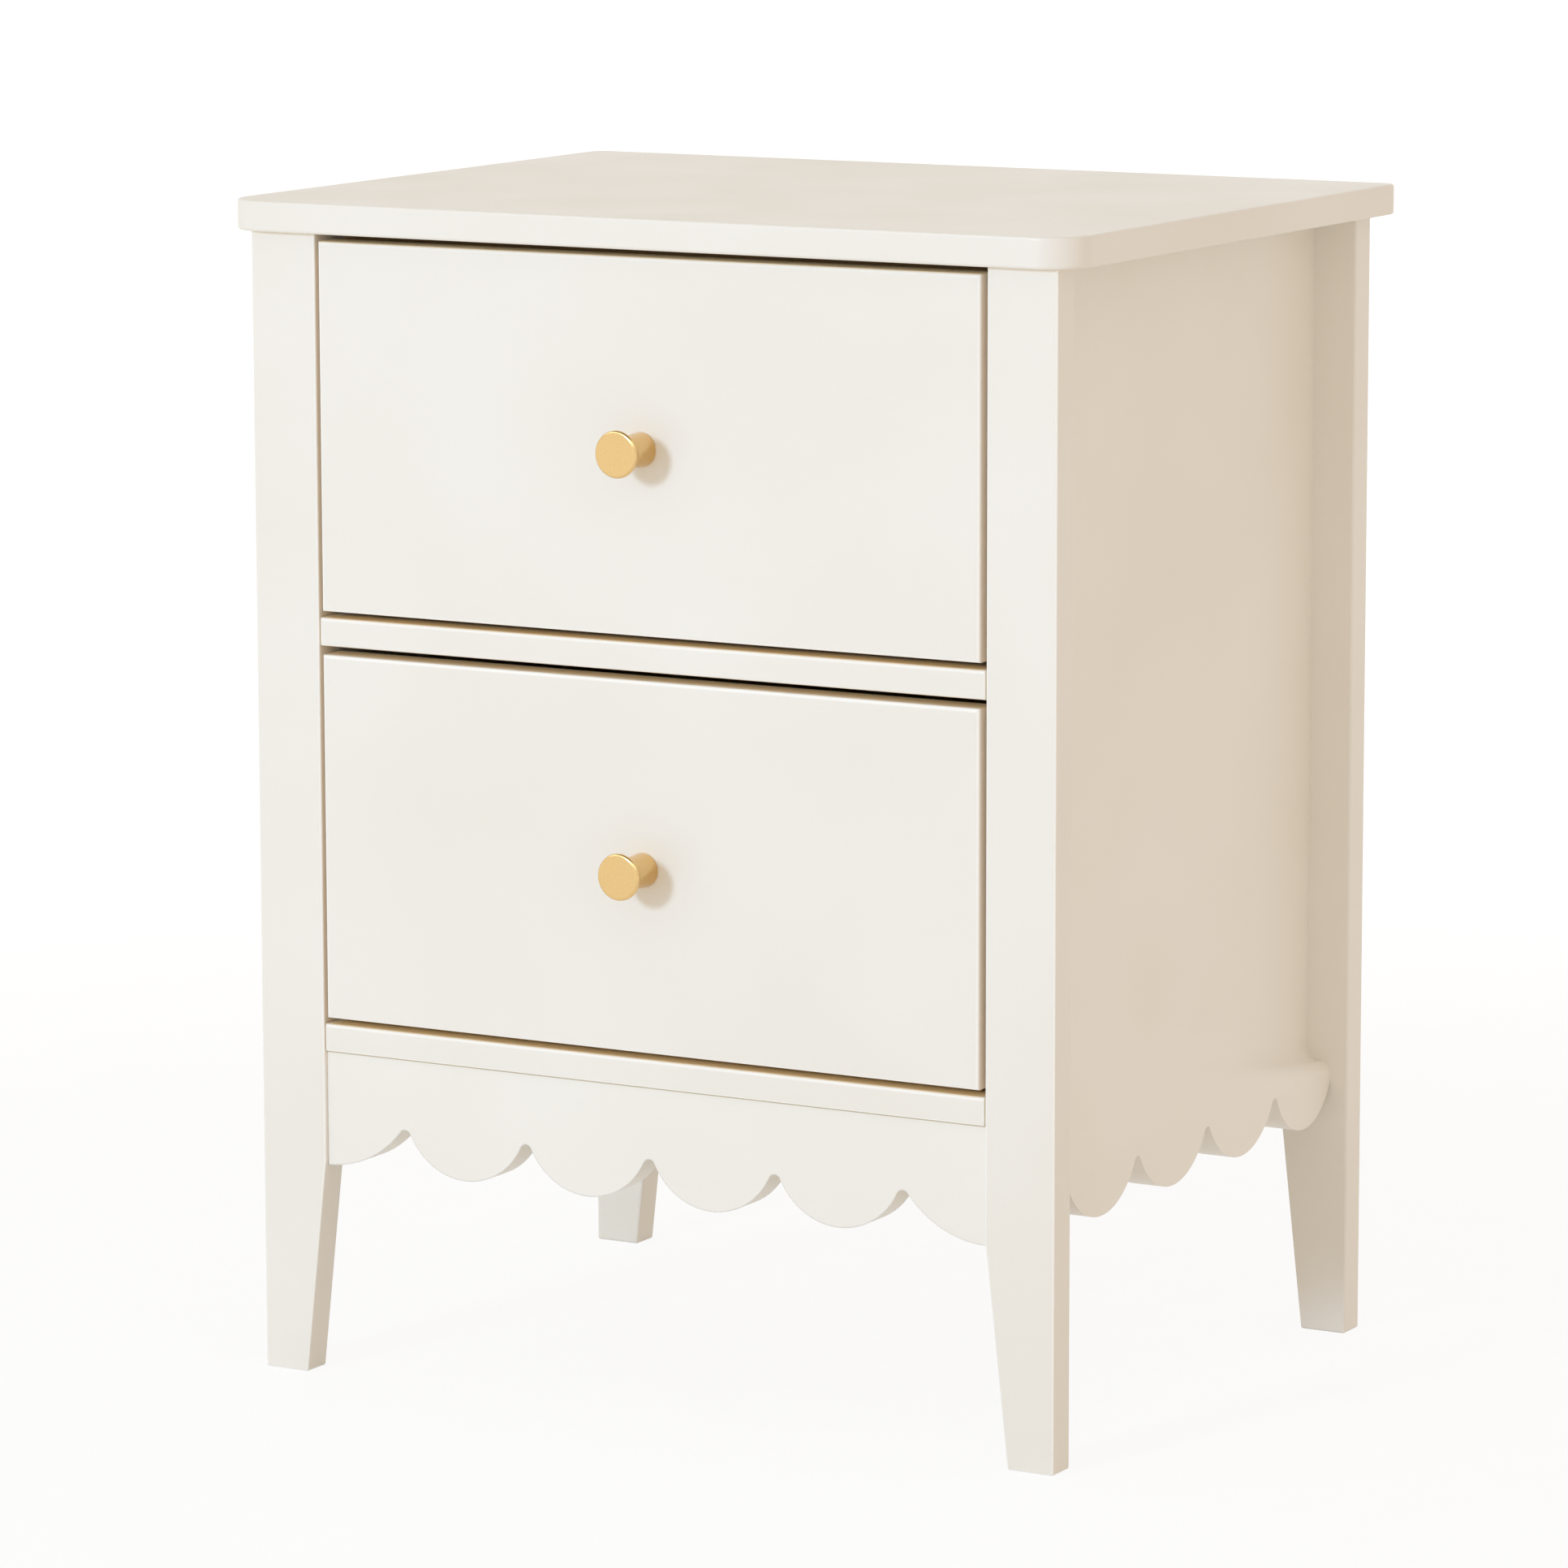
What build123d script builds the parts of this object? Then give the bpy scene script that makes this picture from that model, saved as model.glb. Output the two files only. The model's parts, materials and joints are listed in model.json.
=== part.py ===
from build123d import *
from math import asin, atan2, cos, pi, sin
import os

# Nightstand with two inset drawers, scalloped aprons and turned knobs, in millimetres.
# The origin is on the floor under the middle of the whole, knobs included. +Z is up and the front faces -Y.

# Legs
legs_width = 470.0  # over the outer faces, left to right
legs_depth = 360.0  # over the faces, front to back
leg_height = 604.0
leg_width = 39.0
leg_depth = 18.0
foot_width = 26.0
taper_height = 116.0  # below this the inner edge leans out to the foot
leg_round = 1.2

# Top panel
top_thickness = 16.0
top_side_overhang = 12.0
top_front_overhang = 9.0
top_rear_overhang = 9.0
top_front_corner = 22.0  # corner radii in plan
top_rear_corner = 8.0
top_round = 1.5

# Scallops, which the three aprons share
apron_thickness = 18.0
lobe_depth = 23.4
notch_radius = 3.4

# Front apron
front_apron_bottom = 113.0
front_apron_height = 61.0
front_apron_recess = 2.8  # behind the front of the legs
front_lobe_pitch = 74.0
front_notch_count = 5

# Side panels and side aprons
panel_thickness = 15.0
side_apron_bottom = 118.0
side_apron_height = 132.0
side_apron_recess = 10.0  # behind the outer face of the legs
side_flare_foot = 24.0  # from the bottom of the apron up to its flare
side_flare_rear = 14.0  # height over which the apron flares out from the panel, at the rear leg
side_flare_front = 100.0  # the same at the front leg, where the flare runs out
side_lobe_start = 13.5  # from the front leg to the first notch
side_lobe_pitch = 80.7
side_notch_count = 4

# Rails and stretchers
rail_height = 15.0
rail_depth = 40.0
rail_recess = 0.4
rail_round = 2.0
stretcher_height = 20.0
stretcher_depth = 40.0
stretcher_setback = 12.0  # behind the front legs
cleat_width = 20.0
rear_rail_thickness = 12.0
rear_rail_height = 45.0

# Bottom and back panels
floor_height = 158.0  # top of the bottom panel
bottom_thickness = 16.0
back_thickness = 6.0
back_play = 0.5

# Drawer fronts and the gaps round them
front_thickness = 18.0
front_proud = 1.6  # in front of the legs
front_round = 2.0
gap_side = 3.0
gap_below = 3.6
gap_above = 4.2

# Drawer boxes
box_thickness = 12.0
box_lift = 16.0  # from the bottom edge of the front up to the box
box_drop = 36.0  # from the top edge of the front down to the box
box_rear_gap = 24.0  # behind the box, to the rear rails
tray_thickness = 5.0
tray_lift = 10.0
groove_depth = 5.0
groove_play = 0.2
tray_end_gap = 0.5

# Ball-bearing slides
slide_width = 10.0
slide_height = 27.0
slide_sheet = 1.2
slide_overlap = 75.0  # what stays engaged when the drawer is fully open
slide_setback = 2.6
slide_lip_gap = 1.5
slide_stop_gap = 0.5
ball_diameter = 3.2
ball_play = 0.3
ball_pitch = 13.0
ball_hole_play = 0.15
cage_sheet = 0.6
cage_play = 0.7  # to the drawer member
cage_gap = 1.0  # to the cabinet member
cage_lip = 0.8
cage_margin = 3.0

# Knobs
knob_length = 25.4
knob_drop = 0.9  # below the middle of the front
knob_rim_radius = 12.1
knob_base_radius = 8.9
knob_neck_radius = 8.0
knob_flare = 8.0
knob_bead = 1.4  # round of the rim
knob_band = 0.2
knob_base_break = 0.6

# Fasteners
dowel_radius = 3.0
dowel_length = 24.0
dowel_fit = 0.05
dowel_end_gap = 0.5
dowel_edge = 50.0  # from the edge of a panel to its outer dowels
apron_dowel_rise = 5.0  # above the underside of the bottom panel
apron_dowel_shift = 2.0  # towards the bottom panel
screw_radius = 1.75
screw_head_radius = 3.4
screw_head_height = 1.6
screw_tip = 3.0
screw_fit = 0.05
screw_edge = 28.0  # from the end of a piece to its outer screws
carcass_screw_length = 30.0
back_screw_length = 14.0
slide_screw_length = 11.0
front_screw_length = 25.0
box_screw_length = 30.0
knob_screw_radius = 2.0
knob_screw_bite = 10.0
knob_screw_head_radius = 4.0
knob_screw_head_height = 2.6

# Places that follow from the sizes
half_width = legs_width / 2
front_reach = max(knob_length + front_proud, top_front_overhang)
front_y = (front_reach - legs_depth - top_rear_overhang) / 2
rear_y = front_y + legs_depth
top_y = (front_y + rear_y + top_rear_overhang - top_front_overhang) / 2
bay_front = front_y + leg_depth
bay_rear = rear_y - leg_depth
inner_x = half_width - leg_width
panel_x = inner_x + panel_thickness
apron_x = half_width - side_apron_recess
apron_inner_x = apron_x - apron_thickness
side_apron_top = side_apron_bottom + side_apron_height
front_apron_top = front_apron_bottom + front_apron_height
front_apron_y = front_y + front_apron_recess
rail_y = front_y + rail_recess
stretcher_y = bay_front + stretcher_setback
rear_rail_y = bay_rear + rear_rail_thickness
drawer_pitch = (leg_height - front_apron_top) / 2
front_height = drawer_pitch - rail_height - gap_below - gap_above
drawer_y = front_y - front_proud
box_front_y = drawer_y + front_thickness
box_depth = bay_rear - box_rear_gap - box_front_y
box_rear_y = box_front_y + box_depth
box_x = inner_x - slide_width
box_inner_x = box_x - box_thickness
slide_front_y = box_front_y + slide_setback
slide_rear_y = box_rear_y
drawer_travel = slide_rear_y - slide_front_y - slide_overlap
race = ball_diameter + 2 * ball_play
upright = (Align.CENTER, Align.CENTER, Align.MIN)

nodes = {}
dowels = []


def block(x0, x1, y0, y1, z0, z1):
    return Pos((x0 + x1) / 2, (y0 + y1) / 2, (z0 + z1) / 2) * Box(abs(x1 - x0), abs(y1 - y0), abs(z1 - z0))


def on_side(shape, side):
    return shape if side == "right" else mirror(shape, about=Plane.YZ)


def rod(at, axis, radius, length):
    turn = {"X": Rot(0, 90, 0), "Y": Rot(90, 0, 0), "Z": Rot(0, 0, 0)}
    return Pos(*at) * turn[axis] * Cylinder(radius, length)


def knob_rod(y0, y1, z, radius):
    return rod((0, (y0 + y1) / 2, z), "Y", radius, abs(y1 - y0))


def spread(start, end, margin, count):
    step = (end - start - 2 * margin) / (count - 1)
    return [start + margin + step * i for i in range(count)]


def dowel_joint(first, second, at, axis):
    bore = rod(at, axis, dowel_radius + dowel_fit, dowel_length + 2 * dowel_end_gap)
    nodes[first] -= bore
    nodes[second] -= bore
    dowels.append(rod(at, axis, dowel_radius, dowel_length))


def countersunk(length, play):
    shank = screw_radius + play
    head = Cone(screw_head_radius + play, shank, screw_head_height, align=upright)
    stem = Cylinder(shank, length - screw_tip, align=upright)
    tip = Pos(0, 0, length - screw_tip) * Cone(shank, shank / 4, screw_tip + play, align=upright)
    return head + stem + tip


def screw_joint(group, pieces, at, direction, length):
    place = Plane(origin=at, z_dir=direction).location
    for name in pieces:
        nodes[name] -= place * countersunk(length, screw_fit)
    group.append(place * countersunk(length, 0))


def lobe_radius(half_pitch):
    rise = lobe_depth - notch_radius
    return (half_pitch**2 + rise**2 - notch_radius**2) / (2 * lobe_depth)


def scallop_cutter(notches, bottom, lead):
    # What is sawn away under a row of lobes: each lobe's arc runs smoothly into the round of each notch.
    crown = bottom + lobe_depth
    hub = crown - notch_radius
    low = bottom - lobe_depth
    outline = [
        Polyline(
            (notches[0], crown),
            (notches[0] - lead, crown),
            (notches[0] - lead, low),
            (notches[-1], low),
            (notches[-1], crown),
        )
    ]
    for left, right in zip(notches, notches[1:]):
        half = (right - left) / 2
        radius = lobe_radius(half)
        lean = atan2(hub - bottom - radius, half)
        reach = radius * cos(lean)
        rise = bottom + radius + radius * sin(lean)
        fall_x = left + half - reach
        climb_x = left + half + reach
        shoulder = (pi / 2 - lean) / 2
        over_x = notch_radius * cos(shoulder)
        over_z = hub + notch_radius * sin(shoulder)
        outline += [
            ThreePointArc((left, crown), (left + over_x, over_z), (fall_x, rise)),
            ThreePointArc((fall_x, rise), (left + half, bottom), (climb_x, rise)),
            ThreePointArc((climb_x, rise), (right - over_x, over_z), (right, crown)),
        ]
    return make_face(outline)


def make_top():
    width = legs_width + 2 * top_side_overhang
    depth = legs_depth + top_front_overhang + top_rear_overhang
    board = extrude(Rectangle(width, depth), top_thickness)
    board = fillet(board.edges().filter_by(Axis.Z).sort_by(Axis.Y)[:2], top_front_corner)
    board = fillet(board.edges().filter_by(Axis.Z).sort_by(Axis.Y)[-2:], top_rear_corner)
    rims = board.faces().sort_by(Axis.Z)[0].edges() + board.faces().sort_by(Axis.Z)[-1].edges()
    nodes["top_panel"] = Pos(0, top_y, leg_height) * fillet(rims, top_round)


def make_legs():
    outline = Polyline(
        (inner_x, leg_height),
        (half_width, leg_height),
        (half_width, 0),
        (half_width - foot_width, 0),
        (inner_x, taper_height),
        close=True,
    )
    board = extrude(Plane.XZ * make_face(outline), leg_depth)
    board = fillet(board.edges().filter_by(lambda edge: edge.center().Z < leg_height - leg_round), leg_round)
    for side in ("left", "right"):
        nodes[f"front_{side}_leg"] = Pos(0, bay_front, 0) * on_side(board, side)
        nodes[f"rear_{side}_leg"] = Pos(0, rear_y, 0) * on_side(board, side)


def side_apron_section(y, flare_height):
    # Two equal arcs lead from the plane of the panel out to the plane of the scallops.
    step = apron_x - panel_x
    radius = (step**2 + flare_height**2) / (4 * step)
    half_bend = atan2(step, flare_height)
    half_across = radius * (1 - cos(half_bend))
    half_up = radius * sin(half_bend)
    foot_z = side_apron_bottom + side_flare_foot
    crest_z = foot_z + flare_height
    foot = (apron_x, foot_z)
    waist = (panel_x + step / 2, foot_z + flare_height / 2)
    crest = (panel_x, crest_z)
    under_floor = floor_height - bottom_thickness
    outline = [
        Polyline(
            crest,
            (panel_x, side_apron_top),
            (inner_x, side_apron_top),
            (inner_x, under_floor),
            (apron_inner_x, under_floor),
            (apron_inner_x, side_apron_bottom),
            (apron_x, side_apron_bottom),
            foot,
        ),
        ThreePointArc(foot, (apron_x - half_across, foot_z + half_up), waist),
        ThreePointArc(waist, (panel_x + half_across, crest_z - half_up), crest),
    ]
    return Plane(origin=(0, y, 0), x_dir=(1, 0, 0), z_dir=(0, -1, 0)) * make_face(outline)


def make_sides():
    first_notch = bay_front + side_lobe_start
    notches = [first_notch + side_lobe_pitch * i for i in range(side_notch_count)]
    notches.append(bay_rear + notch_radius)
    scallops = Plane.YZ * scallop_cutter(notches, side_apron_bottom, side_lobe_start + notch_radius)
    ends = [side_apron_section(bay_front, side_flare_front), side_apron_section(bay_rear, side_flare_rear)]
    apron = loft(ends, ruled=True) - extrude(scallops, apron_x + apron_thickness)
    panel = block(inner_x, panel_x, bay_front, bay_rear, side_apron_top, leg_height)
    for side in ("left", "right"):
        nodes[f"{side}_side_panel"] = on_side(panel, side)
        nodes[f"{side}_side_apron"] = on_side(apron, side)


def make_front_apron():
    span = front_lobe_pitch * (front_notch_count - 1) / 2
    notches = [front_lobe_pitch * i - span for i in range(front_notch_count)]
    outer = 2 * inner_x - span
    notches = [-outer] + notches + [outer]
    scallops = Plane.XZ * scallop_cutter(notches, front_apron_bottom, notch_radius)
    rear = front_apron_y + apron_thickness
    board = block(-inner_x, inner_x, front_apron_y, rear, front_apron_bottom, front_apron_top)
    nodes["front_apron"] = board - extrude(scallops, legs_depth / 2, both=True)


def make_rails():
    for name, low in (("bottom_rail", front_apron_top), ("middle_rail", front_apron_top + drawer_pitch)):
        rail = block(-inner_x, inner_x, rail_y, rail_y + rail_depth, low, low + rail_height)
        nodes[name] = fillet(rail.faces().sort_by(Axis.Y)[0].edges(), rail_round)
    low = leg_height - stretcher_height
    rear = stretcher_y + stretcher_depth
    nodes["front_top_stretcher"] = block(-inner_x, inner_x, stretcher_y, rear, low, leg_height)
    for side in ("left", "right"):
        cleat = block(inner_x - cleat_width, inner_x, rear, bay_rear, low, leg_height)
        nodes[f"{side}_top_cleat"] = on_side(cleat, side)
    for name, low in (("rear_bottom_rail", floor_height), ("rear_top_rail", leg_height - rear_rail_height)):
        nodes[name] = block(-inner_x, inner_x, bay_rear, rear_rail_y, low, low + rear_rail_height)


def make_bottom_and_back():
    front = front_apron_y + apron_thickness
    low = floor_height - bottom_thickness
    board = block(-inner_x, inner_x, front, bay_rear, low, floor_height)
    # A higher floor is rebated under the bottom rail.
    nodes["bottom_panel"] = board - nodes["bottom_rail"]
    edge = inner_x - back_play
    high = leg_height - back_play
    nodes["back_panel"] = block(-edge, edge, rear_rail_y, rear_rail_y + back_thickness, floor_height, high)


def join_frame():
    panel_mid = inner_x + panel_thickness / 2
    apron_mid_y = front_apron_y + apron_thickness / 2
    rail_mid_y = (rail_y + bay_front) / 2
    rail_back_y = (bay_front + rail_y + rail_depth) / 2
    rear_mid_y = (bay_rear + rear_rail_y) / 2
    apron_dowel_z = floor_height - bottom_thickness + apron_dowel_rise
    apron_dowel_x = inner_x - apron_dowel_shift
    apron_leg_z = (floor_height + side_apron_top) / 2
    stretcher_mid = leg_height - stretcher_height / 2
    for side, sign in (("left", -1), ("right", 1)):
        for z in spread(side_apron_top, leg_height, dowel_edge, 3):
            dowel_joint(f"{side}_side_panel", f"front_{side}_leg", (sign * panel_mid, bay_front, z), "Y")
            dowel_joint(f"{side}_side_panel", f"rear_{side}_leg", (sign * panel_mid, bay_rear, z), "Y")
        dowel_joint(f"{side}_side_apron", f"front_{side}_leg", (sign * panel_mid, bay_front, apron_leg_z), "Y")
        dowel_joint(f"{side}_side_apron", f"rear_{side}_leg", (sign * panel_mid, bay_rear, apron_leg_z), "Y")
        for y in spread(bay_front, bay_rear, dowel_edge, 3):
            dowel_joint(f"{side}_side_apron", f"{side}_side_panel", (sign * panel_mid, y, side_apron_top), "Z")
            dowel_joint(f"{side}_side_apron", "bottom_panel", (sign * apron_dowel_x, y, apron_dowel_z), "X")
        apron_mid = (front_apron_top + front_apron_bottom + lobe_depth) / 2
        dowel_joint("front_apron", f"front_{side}_leg", (sign * inner_x, apron_mid_y, apron_mid), "X")
        for name, low, board in (
            ("bottom_rail", front_apron_top, f"{side}_side_apron"),
            ("middle_rail", front_apron_top + drawer_pitch, f"{side}_side_panel"),
        ):
            z = low + rail_height / 2
            dowel_joint(name, f"front_{side}_leg", (sign * inner_x, rail_mid_y, z), "X")
            dowel_joint(name, board, (sign * inner_x, rail_back_y, z), "X")
        for y in spread(stretcher_y, stretcher_y + stretcher_depth, stretcher_depth / 4, 2):
            dowel_joint("front_top_stretcher", f"{side}_side_panel", (sign * inner_x, y, stretcher_mid), "X")
        for name, low in (("rear_bottom_rail", floor_height), ("rear_top_rail", leg_height - rear_rail_height)):
            for z in spread(low, low + rear_rail_height, rear_rail_height / 4, 2):
                dowel_joint(name, f"rear_{side}_leg", (sign * inner_x, rear_mid_y, z), "X")
    for x in spread(-inner_x, inner_x, dowel_edge, 3):
        dowel_joint("front_apron", "bottom_rail", (x, apron_mid_y, front_apron_top), "Z")
    nodes["frame_dowels"] = Compound(children=dowels)


def join_top_and_back():
    carcass = []
    low = leg_height - stretcher_height
    cleat_front = stretcher_y + stretcher_depth
    for side, sign in (("left", -1), ("right", 1)):
        cleat = f"{side}_top_cleat"
        upright_x = sign * (inner_x - cleat_width / 2)
        for y in spread(cleat_front, bay_rear, screw_edge, 2):
            screw_joint(carcass, (cleat, "top_panel"), (upright_x, y, low), (0, 0, 1), carcass_screw_length)
        for y in spread(cleat_front, bay_rear, 2 * screw_edge, 2):
            at = (sign * (inner_x - cleat_width), y, low + stretcher_height / 2)
            screw_joint(carcass, (cleat, f"{side}_side_panel"), at, (sign, 0, 0), carcass_screw_length)
    for x in spread(-inner_x, inner_x, 3 * screw_edge, 2):
        at = (x, stretcher_y + stretcher_depth / 2, low)
        screw_joint(carcass, ("front_top_stretcher", "top_panel"), at, (0, 0, 1), carcass_screw_length)
    nodes["carcass_screws"] = Compound(children=carcass)
    back = []
    for name, low in (("rear_bottom_rail", floor_height), ("rear_top_rail", leg_height - rear_rail_height)):
        for x in spread(-inner_x, inner_x, 2 * screw_edge, 3):
            at = (x, rear_rail_y + back_thickness, low + rear_rail_height / 2)
            screw_joint(back, ("back_panel", name), at, (0, -1, 0), back_screw_length)
    nodes["back_panel_screws"] = Compound(children=back)


def make_knob(at_z):
    band_end = -(knob_length - knob_bead)
    flare_end = band_end + knob_band
    neck_y = flare_end + knob_flare
    step = knob_rim_radius - knob_neck_radius
    sweep = (step**2 + knob_flare**2) / (2 * step)
    half_turn = asin(knob_flare / sweep) / 2
    flare_mid = (knob_neck_radius + sweep * (1 - cos(half_turn)), neck_y - sweep * sin(half_turn))
    bead_x = knob_rim_radius - knob_bead
    bead_mid = (bead_x + knob_bead * cos(pi / 4), band_end - knob_bead * sin(pi / 4))
    outline = [
        Polyline(
            (bead_x, -knob_length),
            (0, -knob_length),
            (0, 0),
            (knob_base_radius - knob_base_break, 0),
            (knob_base_radius, -knob_base_break),
            (knob_neck_radius, neck_y),
        ),
        ThreePointArc((knob_neck_radius, neck_y), flare_mid, (knob_rim_radius, flare_end)),
        Line((knob_rim_radius, flare_end), (knob_rim_radius, band_end)),
        ThreePointArc((knob_rim_radius, band_end), bead_mid, (bead_x, -knob_length)),
    ]
    return Pos(0, drawer_y, at_z) * revolve(make_face(outline), Axis.Y)


def make_drawer(drawer, low):
    high = low + front_height
    box_low = low + box_lift
    box_high = high - box_drop
    inner_front = box_front_y + box_thickness
    inner_rear = box_rear_y - box_thickness
    edge = inner_x - gap_side
    face = block(-edge, edge, drawer_y, box_front_y, low, high)
    nodes[f"{drawer}_drawer_front"] = fillet(face.faces().sort_by(Axis.Y)[0].edges(), front_round)
    tray_low = box_low + tray_lift
    tray_x = box_inner_x + groove_depth - tray_end_gap
    tray_front = inner_front - groove_depth + tray_end_gap
    tray_rear = inner_rear + groove_depth - tray_end_gap
    tray_high = tray_low + tray_thickness
    nodes[f"{drawer}_drawer_bottom"] = block(-tray_x, tray_x, tray_front, tray_rear, tray_low, tray_high)
    groove_x = box_inner_x + groove_depth
    groove_front = inner_front - groove_depth
    groove_rear = inner_rear + groove_depth
    groove = block(-groove_x, groove_x, groove_front, groove_rear, tray_low, tray_high + groove_play)
    cross = block(-box_inner_x, box_inner_x, box_front_y, inner_front, box_low, box_high)
    nodes[f"{drawer}_box_front"] = cross - groove
    cross = block(-box_inner_x, box_inner_x, inner_rear, box_rear_y, box_low, box_high)
    nodes[f"{drawer}_box_back"] = cross - groove
    for side in ("left", "right"):
        board = block(box_inner_x, box_x, box_front_y, box_rear_y, box_low, box_high) - groove
        nodes[f"{drawer}_box_{side}_side"] = on_side(board, side)


def join_drawer(drawer, low):
    high = low + front_height
    box_low = low + box_lift
    box_high = high - box_drop
    inner_front = box_front_y + box_thickness
    corners = []
    for side, sign in (("left", -1), ("right", 1)):
        board = f"{drawer}_box_{side}_side"
        for end, y in (("front", box_front_y), ("back", box_rear_y - box_thickness)):
            for z in spread(box_low, box_high, screw_edge, 2):
                at = (sign * box_x, y + box_thickness / 2, z)
                screw_joint(corners, (board, f"{drawer}_box_{end}"), at, (-sign, 0, 0), box_screw_length)
    nodes[f"{drawer}_box_screws"] = Compound(children=corners)
    face = f"{drawer}_drawer_front"
    box_face = f"{drawer}_box_front"
    holding = []
    for x in spread(-box_inner_x, box_inner_x, 2 * screw_edge, 2):
        for z in spread(box_low, box_high, 1.5 * screw_edge, 2):
            at = (x, inner_front, z)
            screw_joint(holding, (box_face, face), at, (0, -1, 0), front_screw_length)
    nodes[f"{drawer}_front_screws"] = Compound(children=holding)
    knob_z = (low + high) / 2 - knob_drop
    tip_y = drawer_y - knob_screw_bite
    shank = knob_rod(inner_front, tip_y, knob_z, knob_screw_radius)
    bore = knob_rod(inner_front, tip_y - screw_fit, knob_z, knob_screw_radius + screw_fit)
    head = knob_rod(inner_front, inner_front + knob_screw_head_height, knob_z, knob_screw_head_radius)
    nodes[face] -= bore
    nodes[box_face] -= bore
    nodes[f"{drawer}_knob"] = make_knob(knob_z) - bore
    nodes[f"{drawer}_knob_screw"] = shank + head


def channel(web_x, mouth_x, sheet, y0, y1, z, height):
    inward = sheet if mouth_x > web_x else -sheet
    outer = block(web_x, mouth_x, y0, y1, z - height / 2, z + height / 2)
    return outer - block(web_x + inward, mouth_x, y0, y1, z - height / 2 + sheet, z + height / 2 - sheet)


def make_slides(drawer, low):
    z = low + (box_lift + front_height - box_drop) / 2
    inner_height = slide_height - 2 * (slide_sheet + race)
    cage_x = inner_x - slide_sheet - cage_gap
    mouth_x = box_x + slide_lip_gap
    ball_x = (mouth_x + cage_x - cage_sheet) / 2
    ball_z = slide_height / 2 - slide_sheet - race / 2
    tip_x = cage_x - cage_sheet - cage_play
    inner_rear = slide_rear_y - slide_stop_gap
    outer = channel(inner_x, mouth_x, slide_sheet, slide_front_y, slide_rear_y + slide_sheet, z, slide_height)
    stop_half = slide_height / 2
    outer += block(mouth_x, inner_x, slide_rear_y, slide_rear_y + slide_sheet, z - stop_half, z + stop_half)
    inner = channel(box_x, tip_x, slide_sheet, slide_front_y, inner_rear, z, inner_height)
    cage_front = slide_front_y + drawer_travel / 2 + cage_margin
    cage_length = slide_overlap - 2 * cage_margin
    cage_height = 2 * ball_z + cage_sheet
    cage_lip_x = ball_x - ball_diameter / 2 - cage_lip
    cage = channel(cage_x, cage_lip_x, cage_sheet, cage_front, cage_front + cage_length, z, cage_height)
    count = int(cage_length // ball_pitch)
    first_y = cage_front + (cage_length - ball_pitch * (count - 1)) / 2
    balls = []
    for row_z in (z - ball_z, z + ball_z):
        for i in range(count):
            at = (ball_x, first_y + ball_pitch * i, row_z)
            cage -= rod(at, "Z", ball_diameter / 2 + ball_hole_play, 2 * cage_sheet)
            balls.append(Pos(*at) * Sphere(ball_diameter / 2))
    cages = []
    for side in ("left", "right"):
        nodes[f"{drawer}_{side}_cabinet_slide"] = on_side(outer, side)
        nodes[f"{drawer}_{side}_drawer_slide"] = on_side(inner, side)
        cages += [on_side(piece, side) for piece in [cage] + balls]
    nodes[f"{drawer}_ball_cages"] = Compound(children=cages)


def join_slides(drawer, low, cabinet_screws):
    z = low + (box_lift + front_height - box_drop) / 2
    drawer_screws = []
    for side, sign in (("left", -1), ("right", 1)):
        for y in spread(slide_front_y, slide_rear_y, screw_edge, 3):
            at = (sign * (inner_x - slide_sheet), y, z)
            pieces = (f"{drawer}_{side}_cabinet_slide", f"{side}_side_panel")
            screw_joint(cabinet_screws, pieces, at, (sign, 0, 0), slide_screw_length)
            at = (sign * (box_x + slide_sheet), y, z)
            pieces = (f"{drawer}_{side}_drawer_slide", f"{drawer}_box_{side}_side")
            screw_joint(drawer_screws, pieces, at, (-sign, 0, 0), slide_screw_length)
    nodes[f"{drawer}_drawer_slide_screws"] = Compound(children=drawer_screws)


make_top()
make_legs()
make_sides()
make_front_apron()
make_rails()
make_bottom_and_back()
join_frame()
join_top_and_back()
slide_screws = []
lower_z = front_apron_top + rail_height + gap_below
for drawer_name, drawer_z in (("lower", lower_z), ("upper", lower_z + drawer_pitch)):
    make_drawer(drawer_name, drawer_z)
    join_drawer(drawer_name, drawer_z)
    make_slides(drawer_name, drawer_z)
    join_slides(drawer_name, drawer_z, slide_screws)
nodes["cabinet_slide_screws"] = Compound(children=slide_screws)

os.makedirs("parts", exist_ok=True)
for node_name, shape in nodes.items():
    export_step(shape, f"parts/{node_name}.step")
print(len(nodes), "nodes, drawer travel", round(drawer_travel, 2))
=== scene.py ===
import json
import math

import bmesh
import bpy
from mathutils import Matrix, Vector


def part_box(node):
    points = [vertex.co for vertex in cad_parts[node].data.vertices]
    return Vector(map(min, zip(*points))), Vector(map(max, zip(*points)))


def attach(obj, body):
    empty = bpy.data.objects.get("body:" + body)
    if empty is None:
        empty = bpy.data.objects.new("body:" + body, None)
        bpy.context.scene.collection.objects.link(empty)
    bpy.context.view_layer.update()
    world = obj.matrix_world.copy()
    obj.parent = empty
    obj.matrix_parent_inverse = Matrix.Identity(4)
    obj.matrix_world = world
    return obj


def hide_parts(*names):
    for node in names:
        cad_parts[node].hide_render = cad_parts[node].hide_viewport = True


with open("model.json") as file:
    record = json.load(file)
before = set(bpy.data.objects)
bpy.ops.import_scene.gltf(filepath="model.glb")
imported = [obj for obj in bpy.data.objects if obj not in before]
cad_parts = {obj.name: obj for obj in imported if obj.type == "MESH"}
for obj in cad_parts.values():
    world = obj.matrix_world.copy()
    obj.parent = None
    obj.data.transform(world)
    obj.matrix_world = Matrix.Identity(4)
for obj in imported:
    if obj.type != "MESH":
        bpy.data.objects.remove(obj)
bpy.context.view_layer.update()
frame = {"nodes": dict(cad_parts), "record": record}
nodes = frame["nodes"]
scene = bpy.context.scene
mm = 0.001
circle = 2 * math.pi
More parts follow.
